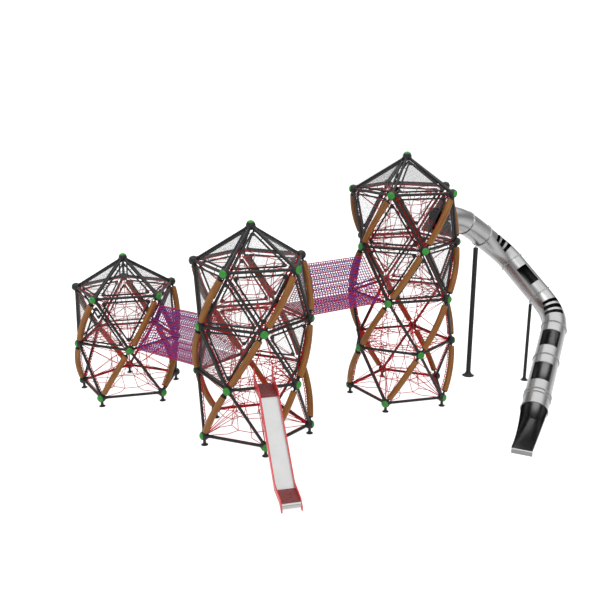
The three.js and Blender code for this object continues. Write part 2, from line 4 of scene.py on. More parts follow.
import bpy
import numpy as np
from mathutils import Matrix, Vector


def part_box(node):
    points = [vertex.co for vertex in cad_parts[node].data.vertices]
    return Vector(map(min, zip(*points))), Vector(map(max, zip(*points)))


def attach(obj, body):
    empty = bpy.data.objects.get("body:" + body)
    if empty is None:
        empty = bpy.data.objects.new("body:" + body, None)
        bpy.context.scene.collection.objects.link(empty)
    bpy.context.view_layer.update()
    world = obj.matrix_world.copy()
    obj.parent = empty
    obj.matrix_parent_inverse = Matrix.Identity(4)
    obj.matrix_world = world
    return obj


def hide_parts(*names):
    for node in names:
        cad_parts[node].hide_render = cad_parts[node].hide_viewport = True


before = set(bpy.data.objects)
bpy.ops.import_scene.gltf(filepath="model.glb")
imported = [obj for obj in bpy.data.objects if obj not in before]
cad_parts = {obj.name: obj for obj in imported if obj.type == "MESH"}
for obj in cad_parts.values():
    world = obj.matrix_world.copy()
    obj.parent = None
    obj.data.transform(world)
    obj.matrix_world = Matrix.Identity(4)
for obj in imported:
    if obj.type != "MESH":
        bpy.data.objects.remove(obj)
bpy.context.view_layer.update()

# ---- Driving dimensions, the CAD model's own ----
EDGE = 2.0
RADIUS = EDGE / (2 * math.sin(math.pi / 5))
ROOF_RISE = math.sqrt(EDGE**2 - RADIUS**2)
IN_RADIUS = EDGE / (2 * math.sqrt(3))
BALL_R = 0.142
FOOT_HEIGHT = 0.297
TUBE_R = 0.045
TIERS = {"left": 2, "centre": 3, "right": 4}
FIVE = range(5)
UP = np.array([0.0, 0.0, 1.0])


def tower_axis(name):
    """The tower's middle in plan, from the box of its top ring, which has one ball at +Y."""
    low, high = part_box(f"{name}_ring_{TIERS[name]}_frame")
    lean = RADIUS * (1 - math.cos(math.pi / 5)) / 2
    return np.array([(low.x + high.x) / 2, (low.y + high.y) / 2 - lean, 0.0])


AXES = {name: tower_axis(name) for name in TIERS}

# ---- Camera ----
CAMERA_FROM_CENTRE = (-3.844, -21.384, 10.118)
CAMERA_YAW = 0.251
CAMERA_PITCH = 0.2733
CAMERA_LENS = 44.76


def make_camera():
    data = bpy.data.cameras.new("camera")
    data.lens = CAMERA_LENS
    data.sensor_width = 36.0
    data.clip_end = 400.0
    camera = bpy.data.objects.new("camera", data)
    camera.location = AXES["centre"] + np.array(CAMERA_FROM_CENTRE)
    camera.rotation_euler = (math.pi / 2 - CAMERA_PITCH, 0.0, -CAMERA_YAW)
    bpy.context.scene.collection.objects.link(camera)
    bpy.context.scene.camera = camera


make_camera()


# ---- Vectors ----
def unit(v):
    return np.asarray(v, float) / np.linalg.norm(v)


def towards(start, end, distance):
    return np.asarray(start) + unit(np.asarray(end) - np.asarray(start)) * distance


def azimuth_vector(degrees):
    return np.array([math.cos(math.radians(degrees)), math.sin(math.radians(degrees)), 0.0])


def ring_azimuth(name, k, i):
    return 90 + 36 * (TIERS[name] - k) + 72 * i


def ring_point(name, k, i):
    height = FOOT_HEIGHT + RADIUS * k
    return AXES[name] + azimuth_vector(ring_azimuth(name, k, i)) * RADIUS + UP * height


def ring(name, k):
    return [ring_point(name, k, i) for i in FIVE]


def apex(name):
    return AXES[name] + UP * (FOOT_HEIGHT + RADIUS * TIERS[name] + ROOF_RISE)


def spokes(side, other, count):
    """Unit vectors evenly round a circle in the plane of two directions."""
    angles = np.arange(count) * 2 * math.pi / count
    return np.outer(np.cos(angles), side) + np.outer(np.sin(angles), other)


def square_to(axis):
    """Two directions square to an axis and to each other."""
    spare = UP if abs(axis @ UP) < 0.9 else np.array([1.0, 0.0, 0.0])
    side = unit(np.cross(axis, spare))
    return side, np.cross(axis, side)


# ---- Materials ----
LINING = 100.0  # added to the grain coordinate of the slide's inner faces, which the steel paints darker as painted shade inside the tube


def fill_ramp(node, stops):
    elements = node.color_ramp.elements
    while len(elements) < len(stops):
        elements.new(0.5)
    for element, (position, colour) in zip(elements, stops):
        element.position = position
        element.color = (*colour, 1.0)


class Nodes:
    """A material's node tree, with short names for the nodes that the finishes use."""

    def __init__(self, name):
        self.material = bpy.data.materials.new(name)
        self.material.use_nodes = True
        self.tree = self.material.node_tree
        self.shader = self.tree.nodes["Principled BSDF"]

    def add(self, kind, inputs=None, **settings):
        node = self.tree.nodes.new(kind)
        for key, value in settings.items():
            setattr(node, key, value)
        for key, value in (inputs or {}).items():
            node.inputs[key].default_value = value
        return node

    def link(self, output, node, socket):
        self.tree.links.new(output, node.inputs[socket])

    def place(self, scale, source="Object"):
        coords = self.add("ShaderNodeTexCoord")
        mapping = self.add("ShaderNodeMapping", {"Scale": scale})
        self.link(coords.outputs[source], mapping, "Vector")
        return mapping.outputs["Vector"]

    def noise(self, vector, scale, detail=4.0, distortion=0.0):
        inputs = {"Scale": scale, "Detail": detail, "Roughness": 0.55, "Distortion": distortion}
        node = self.add("ShaderNodeTexNoise", inputs)
        self.link(vector, node, "Vector")
        return node.outputs["Fac"]

    def ramp(self, factor, stops):
        node = self.add("ShaderNodeValToRGB")
        fill_ramp(node, stops)
        self.link(factor, node, "Fac")
        return node.outputs["Color"]

    def spread(self, factor, low, high):
        inputs = {"From Min": 0.3, "From Max": 0.7, "To Min": low, "To Max": high}
        node = self.add("ShaderNodeMapRange", inputs)
        self.link(factor, node, "Value")
        return node.outputs["Result"]

    def painted_shade_lining(self, surface_colour, shade_colour):
        """A darker second colour for inner faces, painted shade inside the tube; they are told apart by
        their grain coordinate.
        """
        coords = self.add("ShaderNodeTexCoord")
        split = self.add("ShaderNodeSeparateXYZ")
        inner = self.add("ShaderNodeMath", {1: LINING / 2}, operation="GREATER_THAN")
        factor_socket, surface_socket, shade_socket = 0, 6, 7
        mix = self.add("ShaderNodeMix", {shade_socket: (*shade_colour, 1.0)}, data_type="RGBA")
        self.link(coords.outputs["UV"], split, "Vector")
        self.link(split.outputs["Y"], inner, 0)
        self.link(inner.outputs["Value"], mix, factor_socket)
        self.link(surface_colour, mix, surface_socket)
        return mix.outputs[2]

    def bump(self, factor, strength, distance):
        node = self.add("ShaderNodeBump", {"Strength": strength, "Distance": distance})
        self.link(factor, node, "Height")
        self.link(node.outputs["Normal"], self.shader, "Normal")

    def set(self, **values):
        for key, value in values.items():
            self.shader.inputs[key.replace("_", " ")].default_value = value


def tint(colour, factor):
    return tuple(min(1.0, c * factor) for c in colour)


def coated(name, colour, roughness, metallic=0.0, grain=220.0, specular=0.5):
    """Powder coat or moulded plastic: cloudy colour, uneven sheen and a fine pebble."""
    nodes = Nodes(name)
    place = nodes.place((1, 1, 1))
    cloud = nodes.noise(place, 2.3, detail=5.0)
    stops = [(0.3, tint(colour, 0.82)), (0.55, colour), (0.8, tint(colour, 1.22))]
    nodes.link(nodes.ramp(cloud, stops), nodes.shader, "Base Color")
    wear = nodes.noise(place, 14.0, detail=6.0)
    nodes.link(nodes.spread(wear, roughness - 0.08, roughness + 0.1), nodes.shader, "Roughness")
    nodes.bump(nodes.noise(place, grain, detail=2.0), 0.25, 0.0004)
    nodes.set(Metallic=metallic, Specular_IOR_Level=specular)
    return nodes.material


def timber(name):
    """Warm timber-look sleeve: long streaks and fine pores that follow each bent member."""
    nodes = Nodes(name)
    streaks = nodes.noise(nodes.place((0.9, 16.0, 1), "UV"), 1.6, detail=6.0, distortion=0.5)
    stops = [
        (0.30, (0.120, 0.042, 0.008)),
        (0.48, (0.190, 0.073, 0.014)),
        (0.60, (0.235, 0.094, 0.018)),
        (0.78, (0.300, 0.128, 0.027)),
    ]
    nodes.link(nodes.ramp(streaks, stops), nodes.shader, "Base Color")
    pores = nodes.noise(nodes.place((7.0, 260.0, 1), "UV"), 1.0, detail=3.0)
    nodes.link(nodes.spread(pores, 0.42, 0.62), nodes.shader, "Roughness")
    nodes.bump(pores, 0.35, 0.0012)
    nodes.set(Specular_IOR_Level=0.25)
    return nodes.material


def rope(name, colour):
    """Braided rope: diagonal strands round the rope and a fuzzy, dusty colour."""
    nodes = Nodes(name)
    wave = nodes.add("ShaderNodeTexWave", {"Scale": 22.0, "Distortion": 0.6}, bands_direction="DIAGONAL")
    nodes.link(nodes.place((1.0, 1.6, 1), "UV"), wave, "Vector")
    stops = [(0.1, tint(colour, 0.55)), (0.5, colour), (0.9, tint(colour, 1.35))]
    nodes.link(nodes.ramp(wave.outputs["Fac"], stops), nodes.shader, "Base Color")
    fuzz = nodes.noise(nodes.place((1, 1, 1)), 300.0)
    nodes.link(nodes.spread(fuzz, 0.72, 0.95), nodes.shader, "Roughness")
    nodes.bump(wave.outputs["Fac"], 0.6, 0.002)
    nodes.set(Sheen_Weight=0.06, Sheen_Roughness=0.5, Specular_IOR_Level=0.15)
    return nodes.material


def brushed(name, colour, roughness, stretch, source, fine=900.0, lining=1.0):
    """Stainless sheet with fine brushing along one direction and soft cloudy stains."""
    nodes = Nodes(name)
    cloud = nodes.noise(nodes.place((1, 1, 1)), 1.7, detail=5.0)
    stops = [(0.3, tint(colour, 0.93)), (0.55, colour), (0.8, tint(colour, 1.05))]
    surface_colour = nodes.ramp(cloud, stops)
    # lining below 1 paints the inner faces darker: painted shade inside the tube
    if lining < 1.0:
        surface_colour = nodes.painted_shade_lining(surface_colour, tint(colour, lining))
    nodes.link(surface_colour, nodes.shader, "Base Color")
    brush = nodes.noise(nodes.place(stretch, source), fine, detail=2.0)
    nodes.link(nodes.spread(brush, roughness - 0.06, roughness + 0.1), nodes.shader, "Roughness")
    nodes.bump(brush, 0.06, 0.0006)
    nodes.set(Metallic=1.0)
    return nodes.material


STEEL = coated("powder_coated_steel", (0.0085, 0.0090, 0.0090), 0.5, specular=0.36)
CAP = coated("green_cap_plastic", (0.022, 0.205, 0.022), 0.38, grain=90.0, specular=0.3)
TIMBER = timber("timber_look_sleeve")
WIRE = coated("grey_mesh_wire", (0.16, 0.165, 0.17), 0.5)
RED_ROPE = rope("red_rope", (0.50, 0.006, 0.012))
BLUE_ROPE = rope("blue_rope", (0.010, 0.040, 0.30))
# lining=0.5 paints the tube's inner faces at half brightness, as painted shade inside the tube
TUBE_STEEL = brushed("brushed_tube_steel", (0.345, 0.345, 0.345), 0.27, (1.0, 0.02, 1.0), "UV", lining=0.5)
# a darker copy of the tube steel for the exit trough's inner face: painted shade
SHADED_TROUGH_STEEL = brushed("painted_shade_trough_steel", (0.115, 0.115, 0.115), 0.22, (1.0, 0.02, 1.0), "UV")
CHUTE_STEEL = brushed("polished_chute_steel", (0.40, 0.40, 0.398), 0.36, (1.0, 0.02, 0.02), "Object")
RED_PANEL = coated("red_panel_plastic", (0.52, 0.026, 0.030), 0.35, grain=160.0, specular=0.4)
# dark red for the straight slide's platform and run-out: painted shade and a painted reflection of the red
# cheeks
RED_SHADE_AND_REFLECTION = coated("red_painted_shade_and_reflection", (0.15, 0.030, 0.029), 0.32, grain=600.0)
PLATE = coated("mouth_plate_coat", (0.085, 0.070, 0.062), 0.45, metallic=0.2)
LIP_STEEL = brushed("lip_steel", (0.24, 0.24, 0.24), 0.38, (1.0, 1.0, 0.02), "Object")
BOLT = brushed("zinc_bolt", (0.42, 0.43, 0.44), 0.35, (1, 1, 1), "Object", fine=120.0)


# ---- Meshes ----
class Shape:
    """Gathers the surfaces of one piece, with a grain coordinate at each face corner."""

    def __init__(self):
        self.points = []
        self.faces = []
        self.grain = []

    def face(self, corners, grain=None):
        self.faces.append(tuple(corners))
        self.grain.extend(grain or [(0.0, 0.0)] * len(corners))

    def loft(self, rings, looped=False, along=None, round_size=1.0):
        """A skin over rings of points, closed at both ends unless the last meets the first."""
        count = len(rings[0])
        base = len(self.points)
        for one in rings:
            self.points.extend(map(tuple, one))
        along = along if along is not None else np.arange(len(rings) + 1) * 0.1
        step = round_size / count
        for r in range(len(rings) - 1 + looped):
            here = base + r * count
            after = base + ((r + 1) % len(rings)) * count
            for c in range(count):
                d = (c + 1) % count
                a, b = along[r], along[r + 1]
                lo, hi = c * step, (c + 1) * step
                self.face(
                    (here + c, here + d, after + d, after + c),
                    [(a, lo), (a, hi), (b, hi), (b, lo)],
                )
        if not looped:
            last = base + (len(rings) - 1) * count
            self.face([base + c for c in reversed(range(count))])
            self.face([last + c for c in range(count)])

    def tube(self, path, radii, sides=12, looped=False):
        """A round bar along a path; radii is one radius or one for each point."""
        path = np.asarray(path, float)
        count = len(path)
        radii = np.broadcast_to(radii, count)
        if looped:
            steps = np.roll(path, -1, axis=0) - np.roll(path, 1, axis=0)
        else:
            steps = np.gradient(path, axis=0)
        tangents = steps / np.linalg.norm(steps, axis=1)[:, None]
        side, _ = square_to(tangents[0])
        rings = []
        for point, tangent, radius in zip(path, tangents, radii):
            side = unit(side - tangent * (side @ tangent))
            rings.append(point + spokes(side, np.cross(tangent, side), sides) * radius)
        lengths = np.linalg.norm(np.diff(path, axis=0), axis=1)
        along = np.concatenate([[0.0], np.cumsum(lengths), [lengths.sum() + EDGE]])
        self.loft(rings, looped, along + path[0] @ np.array([1.3, 0.7, 0.4]), 2 * math.pi * max(radii))

    def lathe(self, origin, axis, profile, sides=32):
        """A turned part: profile is a list of (radius, height along the axis)."""
        axis = unit(axis)
        circle = spokes(*square_to(axis), sides)
        rings = [origin + axis * h + circle * max(r, 1e-4) for r, h in profile]
        heights = [h for _, h in profile] + [profile[-1][1]]
        self.loft(rings, along=heights, round_size=2 * math.pi * max(r for r, _ in profile))

    def prism(self, outline, offset):
        """A flat plate: an outline of points in order, and the same outline moved by offset."""
        outline = np.asarray(outline, float)
        offset = np.asarray(offset, float)
        self.loft([outline, outline + offset])

    def sheet(self, outer, inner, distances, step, is_solid, lining=0.0):
        """Two skins over rows of points, joined by an edge wherever a cell's neighbour is open."""
        across = len(outer[0])
        base = len(self.points)
        for row in [*outer, *inner]:
            self.points.extend(map(tuple, row))

        def corner(layer, r, c):
            return base + (layer * len(outer) + r) * across + c % across

        for r, (u, v) in enumerate(zip(distances, distances[1:])):
            for c in range(across):
                if not is_solid(r, c):
                    continue
                lo, hi = c * step, (c + 1) * step
                cell = [(r, c), (r, c + 1), (r + 1, c + 1), (r + 1, c)]
                grain = [(u, lo), (u, hi), (v, hi), (v, lo)]
                self.face([corner(0, *at) for at in cell], grain)
                # the inner skin's grain is moved by lining, so that its material can paint shade on it
                shaded_grain = [(x, y + lining) for x, y in reversed(grain)]
                self.face([corner(1, *at) for at in reversed(cell)], shaded_grain)
                beyond = [(r - 1, c), (r, c + 1), (r + 1, c), (r, c - 1)]
                for n, other in enumerate(beyond):
                    if not is_solid(*other):
                        a, b = cell[n], cell[(n + 1) % 4]
                        self.face([corner(0, *b), corner(0, *a), corner(1, *a), corner(1, *b)])

    def piece(self, name, material, slot, *replaced, crease=38.0):
        mesh = bpy.data.meshes.new(name)
        mesh.from_pydata(self.points, [], self.faces)
        layer = mesh.uv_layers.new(name="grain")
        layer.data.foreach_set("uv", np.asarray(self.grain, np.float32).ravel())
        mesh.materials.append(material)
        mesh.shade_smooth()
        mesh.set_sharp_from_angle(angle=math.radians(crease))
        mesh.update()
        obj = bpy.data.objects.new(name, mesh)
        bpy.context.scene.collection.objects.link(obj)
        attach(obj, "root")
        if replaced:
            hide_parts(*replaced)
        return obj


def fillet(corners, radius, steps=6):
    """A closed outline with its corners rounded by arcs."""
    points = []
    count = len(corners)
    for i, corner in enumerate(corners):
        before = unit(corners[i - 1] - corner)
        after = unit(corners[(i + 1) % count] - corner)
        half = math.acos(np.clip(before @ after, -1, 1)) / 2
        reach = radius / math.tan(half)
        centre = corner + unit(before + after) * radius / math.sin(half)
        start = corner + before * reach - centre
        end = corner + after * reach - centre
        turn = math.acos(np.clip(unit(start) @ unit(end), -1, 1))
        for n in range(steps + 1):
            share = n / steps
            a = math.sin((1 - share) * turn) / math.sin(turn)
            b = math.sin(share * turn) / math.sin(turn)
            points.append(centre + start * a + end * b)
    return np.array(points)


def hex_bolt(shape, origin, axis, across=0.022, height=0.012):
    shape.lathe(origin, axis, [(across * 0.75, 0.0), (across * 0.75, 0.003), (across * 0.5, 0.003),
                               (across * 0.5, height - 0.002), (across * 0.42, height)], sides=6)


# ---- Steel frames ----
CAP_ANGLE = math.radians(50)
CAP_PROUD = 0.009
COLLAR_R = 0.057
COLLAR_LENGTH = 0.035


def add_ball(shape, centre, outward):
    angles = np.linspace(0, math.pi, 21)
    shape.lathe(centre, outward, [(BALL_R * math.sin(a), -BALL_R * math.cos(a)) for a in angles])


def add_cap(shape, centre, outward):
    """A domed cover over the ball's outer bolt, standing a little proud with a rounded rim."""
    outer, inner = BALL_R + CAP_PROUD, BALL_R * 0.97
    rim = (inner * math.sin(CAP_ANGLE), inner * math.cos(CAP_ANGLE))
    dome = [(outer * math.sin(a), outer * math.cos(a)) for a in np.linspace(CAP_ANGLE, 0, 10)]
    shape.lathe(centre, outward, [(1e-4, BALL_R * 0.6), rim, *dome])


def add_strut(shape, start, end):
    """A tube between two balls with a turned collar where it enters each of them."""
    a, b = towards(start, end, BALL_R * 0.9), towards(end, start, BALL_R * 0.9)
    length = np.linalg.norm(b - a)
    reach = COLLAR_LENGTH + BALL_R * 0.1
    collar = [(COLLAR_R, 0.0), (COLLAR_R, reach * 0.85), (COLLAR_R * 0.93, reach), (TUBE_R, reach)]
    shape.lathe(a, b - a, [*collar, *((r, length - h) for r, h in reversed(collar))], sides=20)


def add_foot(shape, centre):
    ground = centre * np.array([1, 1, 0])
    profile = [(0.106, 0.0), (0.106, 0.011), (0.098, 0.018), (0.072, 0.026), (0.058, 0.042),
               (0.050, 0.066), (0.045, 0.095), (0.045, centre[2] - BALL_R * 0.85)]
    shape.lathe(ground, UP, profile, sides=28)


def build_frames(name):
    tiers = TIERS[name]
    for k in range(tiers + 1):
        here = ring(name, k)
        node = f"{name}_ring_{k}_frame"
        balls, caps, tubes = Shape(), Shape(), Shape()
        for i in FIVE:
            outward = azimuth_vector(ring_azimuth(name, k, i))
            add_ball(balls, here[i], outward)
            add_cap(caps, here[i], outward)
            add_strut(tubes, here[i], here[(i + 1) % 5])
            if k == 0:
                add_foot(tubes, here[i])
            if k < tiers:
                add_strut(tubes, here[i], ring_point(name, k + 1, i))
        balls.piece(f"{name}_ring_{k}_balls", STEEL, "dark_steel", node)
        caps.piece(f"{name}_ring_{k}_caps", CAP, "green_cap")
        tubes.piece(f"{name}_ring_{k}_tubes", STEEL, "dark_steel", node)
    roof, cap = Shape(), Shape()
    top = apex(name)
    add_ball(roof, top, UP)
    add_cap(cap, top, UP)
    for eave in ring(name, tiers):
        add_strut(roof, top, eave)
    roof.piece(f"{name}_roof_struts", STEEL, "dark_steel", f"{name}_roof_frame")
    cap.piece(f"{name}_roof_cap", CAP, "green_cap")


# ---- Curved members ----
TIMBER_R = 0.097
TIMBER_BOW = 0.07 * RADIUS
TIMBER_INSET = 0.115
NECK_R = 0.03
TIMBER_CHAMFER = 0.008


def member_point(name, lower, upper, t):
    middle = (lower + upper) / 2
    axis = AXES[name] + UP * middle[2]
    return lower + (upper - lower) * t + unit(middle - axis) * TIMBER_BOW * 4 * t * (1 - t)


def add_neck(shape, ball, tip):
    """From a ball to a member's end: a flared steel neck and the plate that the sleeve sits on."""
    length = np.linalg.norm(tip - ball)
    profile = [(NECK_R * 1.5, BALL_R * 0.9), (NECK_R * 1.5, BALL_R * 1.08), (NECK_R, BALL_R * 1.16),
               (NECK_R, length - 0.045), (NECK_R * 1.7, length - 0.022),
               (TIMBER_R * 0.9, length - 0.016), (TIMBER_R * 0.93, length - 0.004), (TIMBER_R * 0.9, length)]
    shape.lathe(ball, tip - ball, profile, sides=24)


def build_runs(name):
    for i in FIVE:
        sleeves, necks = Shape(), Shape()
        for k in range(TIERS[name]):
            lower = ring_point(name, k, i + k)
            upper = ring_point(name, k + 1, i + k + 1)
            shares = np.linspace(TIMBER_INSET, 1 - TIMBER_INSET, 25)
            line = [member_point(name, lower, upper, t) for t in shares]
            path = [line[0], towards(line[0], line[1], TIMBER_CHAMFER), *line[1:-1],
                    towards(line[-1], line[-2], TIMBER_CHAMFER), line[-1]]
            chamfered = TIMBER_R - TIMBER_CHAMFER
            radii = [chamfered, *[TIMBER_R] * (len(path) - 2), chamfered]
            sleeves.tube(path, radii, sides=28)
            add_neck(necks, lower, line[0])
            add_neck(necks, upper, line[-1])
        node = f"{name}_curved_run_{i + 1}"
        sleeves.piece(f"{node}_sleeves", TIMBER, "timber_look", node)
        necks.piece(f"{node}_necks", STEEL, "dark_steel", node)


# ---- Net panels ----
PANEL_INSET = 0.062 * RADIUS
PANEL_TUBE_R = 0.029
PANEL_CORNER = 0.034
GUSSET = 0.17  # along each side of a panel's corner
GUSSET_THICKNESS = 0.008
WIRE_R = 0.0011
WIRE_PITCH = 0.024
TAB_R = 0.011


def inset(corners, distance):
    centre = sum(corners) / len(corners)
    return [centre + (p - centre) * (1 - distance / IN_RADIUS) for p in corners]


def face_frame(corners):
    normal = unit(np.cross(corners[1] - corners[0], corners[2] - corners[0]))
    across = unit(corners[1] - corners[0])
    return across, np.cross(normal, across), normal


def clip_line(origin, direction, corners):
    """Where a line in the triangle's plane enters and leaves it, as distances along the line."""
    *_, normal = face_frame(corners)
    low, high = -math.inf, math.inf
    for a, b in zip(corners, [*corners[1:], corners[0]]):
        inward = np.cross(normal, unit(b - a))
        speed = direction @ inward
        gap = (a - origin) @ inward
        if abs(speed) < 1e-9:
            if gap > 0:
                return None
            continue
        t = gap / speed
        if speed > 0:
            low = max(low, t)
        else:
            high = min(high, t)
    return (low, high) if high > low + WIRE_PITCH else None


def add_mesh(shape, corners):
    """Woven wire: two families of thin wires that meet at the panel's tube frame."""
    centre = sum(corners) / 3
    across, upward, normal = face_frame(corners)
    steps = int(EDGE / WIRE_PITCH)
    for direction, other, lift in ((across, upward, 1), (upward, across, -1)):
        for n in range(-steps, steps + 1):
            origin = centre + other * n * WIRE_PITCH + normal * lift * WIRE_R * 0.9
            span = clip_line(origin, direction, corners)
            if span:
                shape.tube([origin + direction * span[0], origin + direction * span[1]], WIRE_R, sides=4)


def add_tabs(shape, rim, face, centre, tuck=0.0):
    """Two short tabs from each side of a panel's rim to the tube beside it."""
    for i in range(3):
        j = (i + 1) % 3
        for share in (0.24, 0.76):
            tab = rim[i] + (rim[j] - rim[i]) * share
            foot = face[i] + (face[j] - face[i]) * (0.5 + (share - 0.5) * 0.8)
            shape.tube([towards(tab, centre, tuck), towards(foot, tab, TUBE_R * 0.6)], TAB_R, sides=8)


def add_panel(frames, wires, corners):
    rim = inset(corners, PANEL_INSET + PANEL_TUBE_R)
    frames.tube(fillet(rim, PANEL_CORNER), PANEL_TUBE_R, sides=12, looped=True)
    *_, normal = face_frame(corners)
    lift = normal * GUSSET_THICKNESS / 2
    for i, corner in enumerate(rim):
        gusset = [corner, *(towards(corner, rim[(i + n) % 3], GUSSET) for n in (1, 2))]
        frames.prism([p - lift for p in gusset], lift * 2)
    add_tabs(frames, rim, corners, sum(rim) / 3)
    add_mesh(wires, inset(corners, PANEL_INSET + PANEL_TUBE_R * 1.2))


def tier_faces(name, k):
    low, high = ring(name, k), ring(name, k + 1)
    faces = {}
    for i in FIVE:
        azimuth = ring_azimuth(name, k, i)
        faces[azimuth % 360] = [high[i], high[(i + 1) % 5], low[i]]
        faces[(azimuth + 36) % 360] = [low[i], low[(i + 1) % 5], high[(i + 1) % 5]]
    return faces


PANELLED = {
    "left_tier_2_panels": ("left", 1, [306], ["left_tier_2_panels"]),
    "centre_tier_2_panels": (
        "centre", 1, [126, 270], ["centre_tier_2_panels_1", "centre_tier_2_panels_2"]
    ),
    "centre_tier_3_panels": ("centre", 2, [18], ["centre_tier_3_panels"]),
    "right_tier_3_panels": ("right", 2, [198], ["right_tier_3_panels"]),
    "right_tier_4_panels": ("right", 3, [18], ["right_tier_4_panels"]),
}


def build_panels():
    for label, (name, k, gaps, nodes) in PANELLED.items():
        frames, wires = Shape(), Shape()
        for azimuth, corners in tier_faces(name, k).items():
            if azimuth not in gaps:
                add_panel(frames, wires, corners)
        frames.piece(f"{label}_tubes", STEEL, "dark_steel", *nodes)
        wires.piece(f"{label}_wires", WIRE, "panel_mesh", *nodes)
    for name, tiers in TIERS.items():
        frames, wires = Shape(), Shape()
        eaves = ring(name, tiers)
        for i in FIVE:
            add_panel(frames, wires, [eaves[i], eaves[(i + 1) % 5], apex(name)])
        frames.piece(f"{name}_roof_panel_tubes", STEEL, "dark_steel", f"{name}_roof_panels")
        wires.piece(f"{name}_roof_panel_wires", WIRE, "panel_mesh", f"{name}_roof_panels")


# ---- Inner climbing nets ----
ROPE_R = 0.0105
SHAFT_R = 0.42 * RADIUS
WEB_R = 0.64 * RADIUS
WEB_SPREAD = 15  # degrees either side of a ball's azimuth
HOOPS_PER_TIER = 4
LACING = 0.040  # from a member's surface to the net's edge rope
LACED_POINTS = 19
CLAMP = [(0.004, -0.013), (0.013, -0.007), (0.013, 0.007), (0.004, 0.013)]  # radius, height
WEB_SPOKES = 20
WEB_RINGS = 2


def level_point(name, level, azimuth, radius):
    return AXES[name] + azimuth_vector(azimuth) * radius + UP * (FOOT_HEIGHT + RADIUS * level)


def shaft_knots(name, step):
    """Ten knots of a hoop round the open shaft, a pair for each ball; hoops turn with the rings."""
    level = step / HOOPS_PER_TIER
    turn = 90 + 36 * (TIERS[name] - level)
    waist = 1 - 0.12 * abs(math.sin(math.pi * level))
    return [level_point(name, level, turn + 36 * n - 18, SHAFT_R * waist) for n in range(10)]


def add_lashing(net, line, inward, reach):
    """The net's edge rope beside a member, laced to it by a zigzag of cord."""
    net.tube([p + inward * (reach + LACING) for p in line], ROPE_R * 1.2, sides=6)
    laced = [p + inward * (reach * 0.9 if n % 2 else reach + LACING) for n, p in enumerate(line)]
    net.tube(laced, ROPE_R, sides=5)


def lash_members(net, name):
    """Lacing along the inner side of every level tube, straight tube and curved member."""
    shares = np.linspace(0, 1, LACED_POINTS)[:, None]

    def inward(a, b):
        return unit((AXES[name] - (a + b) / 2) * [1, 1, 0])

    for k in range(TIERS[name] + 1):
        here = ring(name, k)
        for i in FIVE:
            ends = [(here[i], here[(i + 1) % 5])]
            if k < TIERS[name]:
                ends.append((here[i], ring_point(name, k + 1, i)))
            for start, end in ends:
                a, b = towards(start, end, BALL_R), towards(end, start, BALL_R)
                add_lashing(net, a + (b - a) * shares, inward(a, b), TUBE_R)
            if k < TIERS[name]:
                upper = ring_point(name, k + 1, i + 1)
                stops = np.linspace(TIMBER_INSET, 1 - TIMBER_INSET, LACED_POINTS)
                line = np.array([member_point(name, here[i], upper, t) for t in stops])
                add_lashing(net, line, inward(here[i], upper), TIMBER_R)


def web_reach(azimuth):
    """How far the level tubes' edge rope stands from the tower's axis, at an angle from a ball."""
    from_middle = math.radians(azimuth % 72 - 36)
    return RADIUS * math.cos(math.pi / 5) / math.cos(from_middle) - TUBE_R - LACING


def add_level_web(net, name, k):
    """A spider's web of rope between the open shaft and the level tubes."""
    turn = ring_azimuth(name, k, 0)
    arms = []
    for n in range(WEB_SPOKES):
        azimuth = 360 * n / WEB_SPOKES
        outer = min(web_reach(azimuth), RADIUS - BALL_R)
        arms.append([level_point(name, k, turn + azimuth, radius)
                     for radius in np.linspace(SHAFT_R * 0.97, outer, WEB_RINGS + 2)])
    for n, arm in enumerate(arms):
        net.tube([arm[0], arm[-1]], ROPE_R, sides=6)
        beside = arms[(n + 1) % WEB_SPOKES]
        for m in range(1, WEB_RINGS + 1):
            net.tube([arm[m], beside[m]], ROPE_R, sides=6)


def build_net(name):
    """Ropes fan from every ball to webs at the rings and to the hoops of the open shaft."""
    net, clamps = Shape(), Shape()
    steps = HOOPS_PER_TIER * TIERS[name]
    hoops = [shaft_knots(name, step) for step in range(steps + 1)]

    def run(a, b):
        net.tube([a, b], ROPE_R, sides=6)

    def run_from_ball(ball, knot):
        run(towards(ball, knot, BALL_R * 0.95), knot)

    for step, hoop in enumerate(hoops):
        for n, knot in enumerate(hoop):
            run(knot, hoop[(n + 1) % 10])
            clamps.lathe(knot, UP, CLAMP, sides=8)
            if step < steps:
                run(knot, hoops[step + 1][n])
    for k in range(TIERS[name] + 1):
        balls = ring(name, k)
        if 0 < k < TIERS[name]:
            add_level_web(net, name, k)
        for i in FIVE:
            azimuth = ring_azimuth(name, k, i)
            pair = [level_point(name, k, azimuth + way * WEB_SPREAD, WEB_R) for way in (-1, 1)]
            for side, knot in enumerate(pair):
                run_from_ball(balls[i], knot)
                run(knot, hoops[HOOPS_PER_TIER * k][(2 * i + side) % 10])
            for rise in (-2, -1, 1, 2):
                step = HOOPS_PER_TIER * k + rise
                if 0 <= step <= steps:
                    nearest = sorted(hoops[step], key=lambda knot: np.linalg.norm(knot - balls[i]))[:2]
                    for knot in nearest:
                        run_from_ball(balls[i], knot)
    lash_members(net, name)
    net.piece(f"{name}_inner_ropes", RED_ROPE, "net_rope", f"{name}_inner_net")
    clamps.piece(f"{name}_rope_clamps", BOLT, "tube_steel")


# ---- Net tunnels ----
TUNNEL_SIDE_INSET = 0.075 * RADIUS
TUNNEL_STANDOFF = 0.06
TUNNEL_CORNER = 0.05
TUNNEL_PITCH = 0.098
TUNNEL_LINES = 57
TUNNEL_ROPE_R = 0.0105
KNOT = [(0.004, -0.009), (0.012, -0.004), (0.012, 0.004), (0.004, 0.009)]


